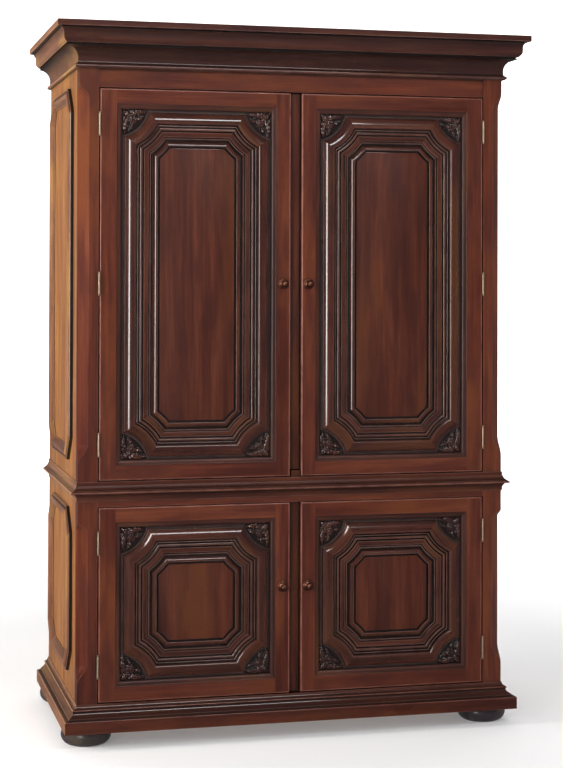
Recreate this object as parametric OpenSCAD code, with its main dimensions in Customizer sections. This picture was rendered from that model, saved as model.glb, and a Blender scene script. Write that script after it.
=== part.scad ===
// A two-part computer armoire. The upper case stands on a desk board and hides a monitor shelf
// and a pull-out keyboard tray behind two tall doors. The lower case holds two short doors.
// Millimetres, +Z up, doors facing -Y, origin on the floor under the middle of the outline.

/* [Case] */
// Width across the front posts
case_w = 1290; // [1280:10:1400]
// Depth from the face of the front posts to the back edge
case_d = 672; // [640:4:720]
// Overall height
total_h = 2082; // [2040:2:2160]
// Height of the desk board's top above the floor
desk_h = 762; // [740:1:790]
// Thickness of the side, bottom and desk boards
board_t = 22; // [18:1:25]
// Thickness of the two back panels
back_t = 12; // [9:1:15]
// Width of a front post, seen from the front
post_w = 58; // [54:1:64]
// Depth of a front post, seen from the side
post_d = 45; // [40:1:55]
// How far the stopped chamfer on a post's outer corner reaches along each face
chamfer = 29; // [20:1:34]

/* [Mouldings] */
// How far the cornice stands out from the case
cornice_out = 70; // [60:1:80]
// Height of the cornice
cornice_h = 130; // [120:1:140]
// How far the waist moulding stands out
waist_out = 21; // [16:1:26]
// Height of the waist moulding
waist_h = 56; // [50:1:60]
// How far the plinth stands out
base_out = 38; // [32:1:44]
// Height of the plinth moulding's top edge
base_h = 126; // [120:1:132]
// Height of the plinth's underside, where the feet start
foot_h = 50; // [44:1:56]
// Largest diameter of a bun foot
foot_d = 146; // [130:2:150]

/* [Doors] */
// Thickness of a door
door_t = 26; // [24:1:30]
// Width of a door's outer stile
stile_out = 49; // [45:1:55]
// Width of a door's inner stile
stile_in = 43; // [40:1:48]
// Height of a door's top and bottom rails
rail_h = 43; // [40:1:48]
// Gap between the meeting edges of a pair of doors
meet_gap = 34; // [30:1:38]
// Gap between a door's hinge edge and its post
hinge_gap = 3; // [3:0.5:4]
// Radius of the arcs that turn the panel moulding across each corner
corner_r = 74.6; // [70:0.2:80]
// Width of the panel moulding, from the opening's edge to the raised field
moulding_w = 122; // [118:1:126]
// Depth of the panel's ground below the door's face
ground = 12; // [10:1:13]
// Height of the upper doors' knobs above the floor
upper_knob_z = 1331; // [1200:1:1400]
// Height of the lower doors' knobs above the floor
lower_knob_z = 441; // [380:1:500]

/* [Inside] */
// Height of the monitor shelf's underside
monitor_z = 880; // [870:5:920]
// Height of the upper adjustable shelf's underside
upper_shelf_z = 1400; // [1300:10:1600]
// Height of the lower adjustable shelf's underside
lower_shelf_z = 430; // [380:10:500]
// Width of the keyboard tray
tray_w = 760; // [700:10:780]
// Depth of the keyboard tray, front to back
tray_d = 330; // [300:5:340]
// Height of the keyboard tray's underside
tray_z = 792; // [790:1:800]

/* [Hidden] */
$fn = 48;

wood = "#5c2f27";
light_wood = "#8a5638";
dark_wood = "#3a1f1c";
inner_wood = "#7a4a30";
bronze = "#4a3524";
brass = "#b08a4a";
steel = "#8c8c90";

left = -1;
right = 1;
joint = 0.3;                                      // hairline gap at mitres and stile ends
half_w = case_w / 2;
front_y = -(case_d - cornice_out) / 2;            // the front face of posts and doors
inner_x = half_w - board_t - 3;                   // inner face of the side boards
back_y = case_d - 10 - back_t;                    // front face of the back panels
cornice_z = total_h - cornice_h;
waist_z = desk_h - waist_h;
desk_z = desk_h - board_t;
sill_z = base_h - 2;                              // where the lower posts and sides start
frieze_h = 54;
upper_door = [desk_h + 2, cornice_z - frieze_h - 3];
lower_door = [base_h + 2, waist_z - 19];
door_edge = half_w - post_w - hinge_gap;          // hinge edge, as a distance from the middle
door_w = door_edge - meet_gap / 2;
opening_w = door_w - stile_out - stile_in;
hinge_x = door_edge + hinge_gap / 2;
hinge_y = -3.7;                                   // hinge pin, in front of the door's face
knuckle_r = 3.4;
pin_r = 1.5;
hinge_h = 60;
upper_hinges = [upper_door[0] + 104, upper_knob_z, upper_door[1] - 103];
lower_hinges = [lower_door[0] + 104, lower_door[1] - 101];
pin_reach = 12;
shelf_pin_r = 3;

function arc(c, r, a0, a1, n = 6) =
    [for (i = [0:n]) c + r * [cos(a0 + (a1 - a0) * i / n), sin(a0 + (a1 - a0) * i / n)]];
function reversed(points) = [for (i = [len(points) - 1:-1:0]) points[i]];
function swapped(points) = [for (p = points) [p[1], p[0]]];

// Y = 0 at the front face
module at_front() translate([0, front_y, 0]) children();
module board(x, y, z) at_front() translate([x[0], y[0], z[0]])
    cube([x[1] - x[0], y[1] - y[0], z[1] - z[0]]);
// Draws a left-hand piece as it is, or mirrored for the right
module on_side(side) mirror([side == right ? 1 : 0, 0, 0]) children();

// ---- Mitred mouldings: profiles are [how far out, height] ----

base_profile = concat(
    [[-board_t, foot_h], [base_out, foot_h], [base_out, base_h - 42], [base_out - 2, base_h - 40]],
    [[base_out - 12, base_h - 39], [base_out - 12, base_h - 36], [base_out - 15, base_h - 34]],
    arc([26, base_h - 17], 15, 235, 200, 4),
    [[11.5, base_h - 19], [13, base_h - 17], [13, base_h - 13], [11, base_h - 12]],
    arc([14, base_h - 2], 11, 242, 190, 5),
    [[2, base_h - 3], [2, base_h], [0, base_h], [0, sill_z], [-board_t, sill_z]]
);

waist_profile = concat(
    [[0, waist_z], [3, waist_z], [3, waist_z + 8]],
    arc([17, waist_z + 8], 14, 180, 118, 6),
    [[12, waist_z + 22], [15, waist_z + 22]],
    arc([waist_out - 4, waist_z + 26], 4, -90, 60, 5),
    arc([waist_out - 1, waist_z + 45], 15, 250, 190, 6),
    [[3, waist_z + 46], [3, desk_h], [0, desk_h]]
);

cornice_profile = concat(
    [[-board_t, cornice_z], [8, cornice_z], [8, cornice_z + 1]],
    arc([8, cornice_z + 6], 5, -60, 60, 5),
    [[6, cornice_z + 13], [4, cornice_z + 17], [4, cornice_z + 24]],
    arc([39, cornice_z + 27], 35, 180, 92, 10),
    [[40, cornice_z + 62], [40, cornice_z + 68], [41.5, cornice_z + 68]],
    arc([34, cornice_z + 84], 16, -52, 6, 6),
    arc([67, cornice_z + 95], 17, 180, 125, 6),
    [[60, cornice_z + 110], [61, cornice_z + 112]],
    [[cornice_out - 1, cornice_z + 112], [cornice_out, cornice_z + 113]],
    [[cornice_out, total_h], [-board_t, total_h]]
);

module mitre_prism(points) translate([0, 0, -1]) linear_extrude(total_h + 2) polygon(points);

// A run along the front and one along each side, cut at 45 degrees where they meet
module mitred_runs(profile, out, inset) at_front() {
    near = half_w - inset;
    far = half_w + out;
    intersection() {
        rotate([90, 0, 90]) linear_extrude(2 * far, center = true)
            mirror([1, 0]) polygon(profile);
        mitre_prism([[-near, inset], [near, inset], [far, -out], [-far, -out]]);
    }
    for (side = [left, right]) on_side(side) intersection() {
        translate([-half_w, case_d, 0]) rotate([90, 0, 0]) linear_extrude(case_d + out)
            mirror([1, 0]) polygon(profile);
        mitre_prism([[-near, inset + joint], [-near, case_d], [-far, case_d], [-far, joint - out]]);
    }
}

module base_moulding() color(wood) mitred_runs(base_profile, base_out, board_t);
module waist_moulding() color(wood) mitred_runs(waist_profile, waist_out, 0);
module cornice() color(wood) mitred_runs(cornice_profile, cornice_out, board_t);

// ---- Feet ----

foot_profile = concat(
    [[0, 0], [foot_d / 2 - 24, 0]],
    arc([foot_d / 2 - 28, 28], 28, -80, 30, 10),
    [[foot_d / 2 - 6, foot_h - 4], [foot_d / 2 - 6, foot_h], [0, foot_h]]
);
foot_x = half_w + base_out - foot_d / 2 - 2;
foot_y = 70;
block = 76;                                       // square block above the bun, inside the plinth

module foot(y) {
    translate([-foot_x, front_y + y, 0]) rotate_extrude($fn = 64) polygon(foot_profile);
    board([-half_w + board_t + 1, -half_w + board_t + 1 + block],
          [y - block / 2, y + block / 2], [foot_h, sill_z - board_t]);
}
module front_feet() color(dark_wood) for (side = [left, right]) on_side(side) foot(foot_y);
module rear_feet() color(dark_wood) for (side = [left, right]) on_side(side)
    foot(case_d - foot_d / 2 - 2);

// ---- Boards of the case ----

module base_board() color(inner_wood)
    board([-half_w + board_t, half_w - board_t], [board_t, case_d], [sill_z - board_t, sill_z]);
module lower_back() color(inner_wood)
    board([-inner_x, inner_x], [back_y, back_y + back_t], [sill_z, desk_z]);
module upper_back() color(inner_wood)
    board([-inner_x, inner_x], [back_y, back_y + back_t], [desk_h, total_h - board_t - 2]);
module desk_board() color(wood) board([-half_w, half_w], [0, case_d], [desk_z, desk_h]);
module lower_rail() color(wood)
    board([-door_edge - hinge_gap, door_edge + hinge_gap], [0, door_t], [lower_door[1] + 2, desk_z]);
module frieze_rail() color(wood)
    board([-door_edge - hinge_gap, door_edge + hinge_gap], [4, door_t],
          [cornice_z - frieze_h, cornice_z]);
// The top board reaches between the posts, up to the frieze rail
module top_board() color(inner_wood) {
    z = [cornice_z - board_t, cornice_z];
    board([-inner_x, inner_x], [post_d, back_y], z);
    board([-door_edge - hinge_gap, door_edge + hinge_gap], [door_t, post_d + 1], z);
}
module cornice_cap() color(inner_wood)
    board([-half_w + board_t, half_w - board_t], [board_t, case_d],
          [total_h - board_t - 2, total_h - 2]);

// A side board with blind holes for its shelf's two pins on each side
module side_board(z, pin_z) difference() {
    board([-half_w, -inner_x], [post_d, case_d], z);
    shelf_pin_places(pin_z) cylinder(r = shelf_pin_r + 0.05, h = pin_reach);
}
module lower_side_left() color(light_wood) side_board([sill_z, desk_z], lower_shelf_z);
module lower_side_right() color(wood) on_side(right) side_board([sill_z, desk_z], lower_shelf_z);
module upper_side_left() color(light_wood) side_board([desk_h, cornice_z], upper_shelf_z);
module upper_side_right() color(wood) on_side(right)
    side_board([desk_h, cornice_z], upper_shelf_z);

// ---- Front posts with a stopped chamfer; its ends curve out like a lamb's tongue ----

cut_d = chamfer / sqrt(2);
function tongue(z, h) = [for (i = [0:8]) [cut_d * (1 - cos(22.5 * i)) / 2, z + h * i / 8]];

// Outline of the cut in the plane across the corner: [depth from the corner, height].
// Each end is [height, length of its stop].
function chamfer_cut(low, high) = concat(
    [[-5, low[0]]], tongue(low[0], low[1]), reversed(tongue(high[0], -high[1])), [[-5, high[0]]]
);

module post(z, cut) difference() {
    board([-half_w, -half_w + post_w], [0, post_d], z);
    at_front() translate([-half_w, 0, 0]) rotate([0, 0, 45]) rotate([90, 0, 0])
        linear_extrude(4 * chamfer, center = true) polygon(chamfer_cut(cut[0], cut[1]));
}
lower_cut = [[sill_z + 58, 56], [waist_z - 58, 24]];
upper_cut = [[desk_h + 50, 56], [cornice_z - 41, 44]];
module lower_post_left() color(wood) post([sill_z, desk_z], lower_cut);
module lower_post_right() color(wood) on_side(right) post([sill_z, desk_z], lower_cut);
module upper_post_left() color(wood) post([desk_h, cornice_z], upper_cut);
module upper_post_right() color(wood) on_side(right) post([desk_h, cornice_z], upper_cut);

// ---- Octagonal frames planted on the case sides: profile is [inward, height] ----

frame_w = 40;
frame_cut = 70;
frame_profile = concat(
    [[0, 0], [0, 7], [2, 9.5], [5, 10], [6.5, 8.5], [8, 8.5]],
    arc([19, 6], 10, 165, 40, 8),
    [[30, 9.5], [33, 6], [34, 4], [frame_w, 3], [frame_w, 0]]
);

// One eighth: a stick along X from x0 to x1 at the bottom of the frame, with its end slopes
module frame_stick(x0, x1, slope) intersection() {
    translate([x0, 0, 0]) rotate([90, 0, 90]) linear_extrude(x1 - x0) polygon(frame_profile);
    translate([0, 0, -1]) linear_extrude(30) polygon([
        [x0 + joint, 0], [x1 - joint, 0],
        [x1 - joint - slope * frame_w, frame_w], [x0 + joint + slope * frame_w, frame_w],
    ]);
}
mitre = tan(22.5);

module octagon_frame(w, h) {
    for (end = [0, 1]) translate([0, end * h, 0]) mirror([0, end, 0])
        frame_stick(frame_cut, w - frame_cut, mitre);
    for (end = [0, 1]) translate([end * w, 0, 0]) mirror([end, 0, 0]) mirror([1, -1, 0])
        frame_stick(frame_cut, h - frame_cut, mitre);
    for (ex = [0, 1], ey = [0, 1]) translate([ex * w, ey * h, 0])
        mirror([ex, 0, 0]) mirror([0, ey, 0]) translate([0, frame_cut, 0]) rotate([0, 0, -45])
            frame_stick(0, frame_cut * sqrt(2), mitre);
}
frame_y = [110, 590];
module side_frame(z) at_front() translate([-half_w, frame_y[0], z[0]])
    rotate([0, -90, 0]) mirror([1, -1, 0])
        octagon_frame(frame_y[1] - frame_y[0], z[1] - z[0]);
lower_frame_z = [sill_z + 64, waist_z - 34];
upper_frame_z = [desk_h + 48, cornice_z - 44];
module lower_side_frame_left() color(light_wood) side_frame(lower_frame_z);
module lower_side_frame_right() color(wood) on_side(right) side_frame(lower_frame_z);
module upper_side_frame_left() color(light_wood) side_frame(upper_frame_z);
module upper_side_frame_right() color(wood) on_side(right) side_frame(upper_frame_z);

// ---- Doors, drawn for the left and mirrored for the right ----

groove = 8;                                       // depth of the groove that holds the panel
panel_t = 8;
function opening_h(door) = door[1] - door[0] - 2 * rail_h;

// X right and Y up from the opening's lower left corner, Z out of the door's face
module in_opening(door) at_front() translate([-door_edge + stile_out, 0, door[0] + rail_h])
    rotate([90, 0, 0]) children();

module door_frame(door) difference() {
    h = door[1] - door[0];
    in_opening(door) {
        for (x = [[-stile_out, 0], [opening_w, opening_w + stile_in]])
            translate([x[0], -rail_h, -door_t]) cube([x[1] - x[0], h, door_t]);
        for (y = [-rail_h, opening_h(door)]) translate([joint, y, -door_t])
            cube([opening_w - 2 * joint, rail_h, door_t]);
    }
    in_opening(door) translate([-groove, -groove, -ground - panel_t])
        cube([opening_w + 2 * groove, opening_h(door) + 2 * groove, panel_t]);
}

// A board with a raised field whose corners are cut by the moulding's arcs
module door_panel(door) {
    field = moulding_w - 4;
    w = opening_w;
    h = opening_h(door);
    in_opening(door) {
        translate([-groove, -groove, -ground - panel_t])
            cube([w + 2 * groove, h + 2 * groove, panel_t]);
        translate([0, 0, -ground]) linear_extrude(ground - 4) difference() {
            translate([field, field]) square([w - 2 * field, h - 2 * field]);
            for (x = [0, w], y = [0, h]) translate([x, y]) circle(corner_r + field, $fn = 96);
        }
    }
}

// Cross-sections of the sticking at the opening's edge and of the main moulding:
// [distance in from the opening's edge, height above the door's face]
sticking = [[0.2, -ground], [0.2, -0.5], [4, -0.5], [9, -3], [14, -9], [15, -ground]];
main_start = 24;
main_end = moulding_w - 5;
main_profile = concat(
    [[main_start, -ground], [main_start, -2]],
    arc([40, -6], 14, 155, 25, 6),
    [[60, -2], [78, -2], [80, -4], [96, -8], [106, -9], [109, -4], [114, 0]],
    [[main_end, -2], [main_end, -ground]]
);

// Where a straight run meets a corner arc, the distance from the opening's corner
function mitre_at(s) = sqrt(2 * corner_r * s + corner_r * corner_r);
mitre_line = [for (i = [0:4]) let (s = main_start - 2 + (main_end - main_start + 4) * i / 4)
    [s, mitre_at(s)]];

module cut_prism(points) translate([0, 0, -ground]) linear_extrude(2 * ground + 8)
    polygon(points);

// A vertical run at X = 0, h tall, cut to meet the corner arcs
module main_run(h) intersection() {
    translate([0, h, 0]) rotate([90, 0, 0]) linear_extrude(h) polygon(main_profile);
    cut_prism(concat(
        [for (p = mitre_line) p + [0, joint]],
        [for (p = reversed(mitre_line)) [p[0], h - p[1] - joint]]
    ));
}
module sticking_run(h) intersection() {
    translate([0, h, 0]) rotate([90, 0, 0]) linear_extrude(h) polygon(sticking);
    cut_prism([[0, joint], [16, 16 + joint], [16, h - 16 - joint], [0, h - joint]]);
}
module corner_arc() intersection() {
    rotate_extrude(angle = 90, $fn = 96) translate([corner_r, 0]) polygon(main_profile);
    cut_prism(concat(mitre_line, [[180, 180]], reversed(swapped(mitre_line))));
}
module each_corner(w, h) for (mx = [0, 1], my = [0, 1])
    translate([mx * w, my * h, 0]) mirror([mx, 0, 0]) mirror([0, my, 0]) children();

module door_moulding(door) in_opening(door) {
    w = opening_w;
    h = opening_h(door);
    for (end = [0, 1]) translate([end * w, 0, 0]) mirror([end, 0, 0]) {
        main_run(h);
        sticking_run(h);
    }
    for (end = [0, 1]) translate([0, end * h, 0]) mirror([0, end, 0]) mirror([1, -1, 0]) {
        main_run(w);
        sticking_run(w);
    }
    each_corner(w, h) corner_arc();
}

// A rosette with petals and two leaf scrolls in each corner of the ground
module door_carvings(door) in_opening(door) each_corner(opening_w, opening_h(door)) {
    translate([43, 43, -ground]) {
        cylinder(r = 11, h = 5);
        translate([0, 0, 5]) cylinder(r1 = 7, r2 = 4, h = 3);
        for (i = [0:5]) rotate(60 * i) translate([14.5, 0, 0]) cylinder(r = 5.5, h = 5);
    }
    for (p = [[24, 74], [74, 24], [24, 24]]) translate([p[0], p[1], -ground])
        cylinder(r1 = 7, r2 = 4, h = 7);
}

// ---- Knobs, hinges and meeting strips ----

knob_profile = concat(
    [[0, 0], [16, 0], [16, 1.5], [13, 3], [7, 4], [5, 7], [4.5, 11]],
    arc([2, 20], 9, -65, 60, 8),
    [[3, 29], [0, 30]]
);
knob_x = meet_gap / 2 + stile_in / 2;
module door_knob(z) at_front() translate([-knob_x, 0, z]) rotate([90, 0, 0])
    rotate_extrude($fn = 40) polygon(knob_profile);

// Five knuckles turn on a pin: three belong to the case leaf and two to the door leaf
knuckle_h = hinge_h / 5;
leaf_play = 0.2;
leaf_t = hinge_gap / 2 - leaf_play;
leaf_d = 20;
leaf_y = 1 - hinge_y;                             // where the leaf starts, behind the pin
module hinge_place(z) at_front() translate([-hinge_x, hinge_y, z]) children();

// A knuckle with the tab that joins it to a leaf whose inner face is at X = x
module knuckle(i, x) translate([0, 0, i * knuckle_h - hinge_h / 2 + 0.1]) {
    cylinder(r = knuckle_r, h = knuckle_h - 0.2);
    translate([x, 0, 0]) cube([leaf_t, leaf_y, knuckle_h - 0.2]);
}
module case_leaf() {
    x = -leaf_t - leaf_play;
    for (i = [0, 2, 4]) knuckle(i, x);
    cylinder(r = pin_r, h = hinge_h + 2, center = true);
    for (end = [-1, 1]) translate([0, 0, end * (hinge_h / 2 + 2.5)]) sphere(r = 3);
    translate([x, leaf_y, -hinge_h / 2]) cube([leaf_t, leaf_d, hinge_h]);
}
module door_leaf() {
    difference() {
        for (i = [1, 3]) knuckle(i, leaf_play);
        cylinder(r = pin_r + 0.08, h = hinge_h, center = true);
    }
    translate([leaf_play, leaf_y, -hinge_h / 2]) cube([leaf_t, leaf_d, hinge_h]);
}
module case_hinge_leaves() color(brass) for (side = [left, right]) on_side(side)
    for (z = concat(upper_hinges, lower_hinges)) hinge_place(z) case_leaf();
module door_leaves(heights) for (z = heights) hinge_place(z) door_leaf();

// A strip on the left door's edge closes the gap between a pair of doors
strip_gap = 3;
strip_y = [17, 25];
module astragal(z) board([-meet_gap / 2, meet_gap / 2 - strip_gap], strip_y, z);
stop_top = desk_h + 18;
module door_stop() color(dark_wood)
    board([-meet_gap / 2 + 5, meet_gap / 2 - 3], [4, 15.5], [desk_h, stop_top]);

module upper_astragal() color(dark_wood) astragal([stop_top + 3, upper_door[1]]);
module lower_astragal() color(dark_wood) astragal(lower_door);

module upper_left_frame() color(wood) door_frame(upper_door);
module upper_left_panel() color(wood) door_panel(upper_door);
module upper_left_moulding() color(dark_wood) door_moulding(upper_door);
module upper_left_carvings() color(dark_wood) door_carvings(upper_door);
module upper_left_knob() color(bronze) door_knob(upper_knob_z);
module upper_left_hinge_leaves() color(brass) door_leaves(upper_hinges);

module upper_right_frame() color(wood) on_side(right) door_frame(upper_door);
module upper_right_panel() color(wood) on_side(right) door_panel(upper_door);
module upper_right_moulding() color(dark_wood) on_side(right) door_moulding(upper_door);
module upper_right_carvings() color(dark_wood) on_side(right) door_carvings(upper_door);
module upper_right_knob() color(bronze) on_side(right) door_knob(upper_knob_z);
module upper_right_hinge_leaves() color(brass) on_side(right) door_leaves(upper_hinges);

module lower_left_frame() color(wood) door_frame(lower_door);
module lower_left_panel() color(wood) door_panel(lower_door);
module lower_left_moulding() color(dark_wood) door_moulding(lower_door);
module lower_left_carvings() color(dark_wood) door_carvings(lower_door);
module lower_left_knob() color(bronze) door_knob(lower_knob_z);
module lower_left_hinge_leaves() color(brass) door_leaves(lower_hinges);

module lower_right_frame() color(wood) on_side(right) door_frame(lower_door);
module lower_right_panel() color(wood) on_side(right) door_panel(lower_door);
module lower_right_moulding() color(dark_wood) on_side(right) door_moulding(lower_door);
module lower_right_carvings() color(dark_wood) on_side(right) door_carvings(lower_door);
module lower_right_knob() color(bronze) on_side(right) door_knob(lower_knob_z);
module lower_right_hinge_leaves() color(brass) on_side(right) door_leaves(lower_hinges);

// ---- Inside: shelves, and the keyboard tray on its slides ----

module monitor_shelf() color(inner_wood)
    board([-inner_x, inner_x], [60, back_y], [monitor_z, monitor_z + board_t]);
module loose_shelf(z) color(inner_wood)
    board([-inner_x + 1, inner_x - 1], [60, back_y - 5], [z, z + board_t]);
module upper_shelf() loose_shelf(upper_shelf_z);
module lower_shelf() loose_shelf(lower_shelf_z);

// Left-hand places of a shelf's two pins, pointing out into the side board
module shelf_pin_places(shelf_z) at_front()
    for (y = [110, back_y - 60]) translate([-inner_x, y, shelf_z - shelf_pin_r])
        rotate([0, -90, 0]) children();
module shelf_pins() color(brass) for (side = [left, right]) on_side(side)
    for (z = [upper_shelf_z, lower_shelf_z]) shelf_pin_places(z) {
        translate([0, 0, -pin_reach]) cylinder(r = shelf_pin_r, h = 2 * pin_reach - 1);
        translate([0, 0, -2]) cylinder(r = shelf_pin_r - 0.01, h = 2);
    }

tray_t = 18;
lip_h = 12;
tray_front = 46;
tray_back = tray_front + tray_d;
half_tray = tray_w / 2;
runner_t = 6;
play = 0.5;
module keyboard_tray() color(light_wood) at_front() {
    translate([0, tray_front, tray_z]) linear_extrude(tray_t) union() {
        translate([-half_tray, 20]) square([tray_w, tray_d - 20]);
        translate([-half_tray + 20, 0]) square([tray_w - 40, 40]);
        for (x = [-1, 1]) translate([x * (half_tray - 20), 20]) circle(20);
    }
    translate([-half_tray + 24, tray_front, tray_z + tray_t]) cube([tray_w - 48, 10, lip_h]);
}
runner_back = tray_back + 70;
module tray_runners() color(steel) for (side = [left, right]) on_side(side)
    board([-half_tray - runner_t, -half_tray], [tray_front + 24, runner_back],
          [tray_z + 3, tray_z + tray_t - 3]);

// A flange under the monitor shelf, a web, and a channel that holds the runner
hanger_x = half_tray + runner_t + play;
module hanger() at_front() translate([0, runner_back + 60, 0]) rotate([90, 0, 0])
    linear_extrude(runner_back + 60 - 74) union() {
        translate([-hanger_x - 3, tray_z - 1]) square([3, monitor_z - tray_z + 1]);
        translate([-hanger_x - 26, monitor_z - 3]) square([26, 3]);
        for (z = [tray_z - 1, tray_z + tray_t - 3 + play])
            translate([-hanger_x - 3, z]) square([3 + runner_t - 1, 3.5 - play]);
    }
module tray_hangers() color(steel) for (side = [left, right]) on_side(side) hanger();

front_feet();
rear_feet();
base_moulding();
base_board();
lower_post_left();
lower_post_right();
lower_side_left();
lower_side_right();
lower_side_frame_left();
lower_side_frame_right();
lower_back();
lower_rail();
waist_moulding();
desk_board();
door_stop();
upper_post_left();
upper_post_right();
upper_side_left();
upper_side_right();
upper_side_frame_left();
upper_side_frame_right();
upper_back();
frieze_rail();
top_board();
cornice();
cornice_cap();
monitor_shelf();
upper_shelf();
lower_shelf();
shelf_pins();
tray_hangers();
case_hinge_leaves();
upper_left_frame();
upper_left_panel();
upper_left_moulding();
upper_left_carvings();
upper_left_knob();
upper_left_hinge_leaves();
upper_astragal();
upper_right_frame();
upper_right_panel();
upper_right_moulding();
upper_right_carvings();
upper_right_knob();
upper_right_hinge_leaves();
lower_left_frame();
lower_left_panel();
lower_left_moulding();
lower_left_carvings();
lower_left_knob();
lower_left_hinge_leaves();
lower_astragal();
lower_right_frame();
lower_right_panel();
lower_right_moulding();
lower_right_carvings();
lower_right_knob();
lower_right_hinge_leaves();
keyboard_tray();
tray_runners();
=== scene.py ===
"""Looks of the computer armoire: finer joinery, carving and procedural finishes over its frame.

Lengths are in millimetres until a mesh is made, and in metres from there on.
"""

import math
import random

import bmesh
import bpy
import numpy as np
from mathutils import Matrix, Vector


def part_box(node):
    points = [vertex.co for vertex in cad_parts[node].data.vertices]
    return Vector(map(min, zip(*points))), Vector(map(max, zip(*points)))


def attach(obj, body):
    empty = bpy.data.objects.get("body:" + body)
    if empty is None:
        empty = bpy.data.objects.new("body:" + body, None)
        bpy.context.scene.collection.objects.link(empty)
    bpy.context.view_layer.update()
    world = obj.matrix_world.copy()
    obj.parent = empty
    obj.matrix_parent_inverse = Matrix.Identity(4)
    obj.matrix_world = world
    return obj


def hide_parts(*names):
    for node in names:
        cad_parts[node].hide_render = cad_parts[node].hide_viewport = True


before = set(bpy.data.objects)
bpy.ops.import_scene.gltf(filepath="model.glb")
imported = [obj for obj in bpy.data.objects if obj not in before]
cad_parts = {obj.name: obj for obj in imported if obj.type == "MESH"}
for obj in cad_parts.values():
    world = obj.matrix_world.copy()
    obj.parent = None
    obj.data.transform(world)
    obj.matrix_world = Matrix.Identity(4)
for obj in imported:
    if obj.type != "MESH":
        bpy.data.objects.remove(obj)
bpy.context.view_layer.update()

MM = 0.001
random.seed(7)


def span(node):
    """Lowest and highest corner of a CAD node, in millimetres."""
    lo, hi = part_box(node)
    return [c / MM for c in lo], [c / MM for c in hi]


# ---------------------------------------------------------------------------
# Camera
# ---------------------------------------------------------------------------

VIEW_YAW = 0.2472
VIEW_PITCH = 0.0106
VIEW_ROLL = 0.0029
SENSOR = 36.0
FOCAL_IN_HEIGHTS = 2.3408


def add_camera():
    data = bpy.data.cameras.new("camera")
    cam = bpy.data.objects.new("camera", data)
    bpy.context.scene.collection.objects.link(cam)
    front = span("desk_board")[0][1] * MM
    cam.location = (-1.3419, front - 5.1402, 1.3685)
    ahead = Vector((math.sin(VIEW_YAW) * math.cos(VIEW_PITCH),
                    math.cos(VIEW_YAW) * math.cos(VIEW_PITCH), math.sin(VIEW_PITCH)))
    turn = ahead.to_track_quat("-Z", "Y").to_matrix()
    c, s = math.cos(VIEW_ROLL), math.sin(VIEW_ROLL)
    right, up = turn.col[0].copy(), turn.col[1].copy()
    turn.col[0] = c * right + s * up
    turn.col[1] = c * up - s * right
    cam.rotation_euler = turn.to_euler()
    data.sensor_width = SENSOR
    data.lens = SENSOR * FOCAL_IN_HEIGHTS
    data.shift_y = -0.1716
    data.clip_end = 60
    bpy.context.scene.camera = cam


# ---------------------------------------------------------------------------
# Node materials
# ---------------------------------------------------------------------------

class Nodes:
    """A material's node tree, with short calls for the nodes used here."""

    def __init__(self, name):
        self.mat = bpy.data.materials.new(name)
        self.mat.use_nodes = True
        self.tree = self.mat.node_tree
        self.shader = self.tree.nodes["Principled BSDF"]

    def add(self, kind, inputs=(), **settings):
        node = self.tree.nodes.new(kind)
        for key, value in settings.items():
            setattr(node, key, value)
        for key, value in dict(inputs).items():
            self.put(node.inputs[key], value)
        return node

    def put(self, socket, value):
        if isinstance(value, bpy.types.NodeSocket):
            self.tree.links.new(value, socket)
        else:
            socket.default_value = value

    def math(self, op, a, b=0.0, clamp=False):
        node = self.add("ShaderNodeMath", {0: a, 1: b}, operation=op, use_clamp=clamp)
        return node.outputs[0]

    def noise(self, vector, scale, detail=3.0, rough=0.5, distortion=0.0):
        node = self.add("ShaderNodeTexNoise", {
            "Vector": vector, "Scale": scale, "Detail": detail,
            "Roughness": rough, "Distortion": distortion})
        return node.outputs["Fac"]

    def stretch(self, vector, scale):
        node = self.add("ShaderNodeMapping", {"Vector": vector, "Scale": scale})
        return node.outputs[0]

    def ramp(self, fac, stops):
        node = self.add("ShaderNodeValToRGB", {"Fac": fac})
        ramp = node.color_ramp
        while len(ramp.elements) < len(stops):
            ramp.elements.new(0.5)
        for element, (place, colour) in zip(ramp.elements, stops):
            element.position = place
            element.color = (*colour, 1.0)
        return node.outputs["Color"]

    def fade(self, value, low, high, to_low=0.0, to_high=1.0):
        node = self.add("ShaderNodeMapRange", {
            "Value": value, "From Min": low, "From Max": high,
            "To Min": to_low, "To Max": to_high})
        return node.outputs["Result"]

    def mix(self, fac, a, b):
        node = self.add("ShaderNodeMix", data_type="RGBA", blend_type="MIX")
        self.put(node.inputs["Factor"], fac)
        for socket, value in ((node.inputs["A"], a), (node.inputs["B"], b)):
            colours = [s for s in node.inputs if s.name == socket.name and s.type == "RGBA"]
            self.put(colours[0], value if isinstance(value, bpy.types.NodeSocket) else (*value, 1))
        return [s for s in node.outputs if s.type == "RGBA"][0]


GRAIN_TURN = {"X": (0, 0, 0), "Z": (0, math.pi / 2, 0)}


def grain_space(n, along):
    """Coordinates with X along the grain: from the mesh, or from the frame's own axes."""
    if along == "mesh":
        return n.add("ShaderNodeAttribute", attribute_name="grain").outputs["Vector"]
    coords = n.add("ShaderNodeTexCoord").outputs["Object"]
    turn = n.add("ShaderNodeVectorRotate", {"Vector": coords, "Rotation": GRAIN_TURN[along]},
                 rotation_type="EULER_XYZ")
    return turn.outputs[0]


# The near-black colour of the glaze left in hollows and corners, which also stands for painted
# shade there
GLAZE_AND_SHADE = (0.010, 0.006, 0.005)


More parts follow.
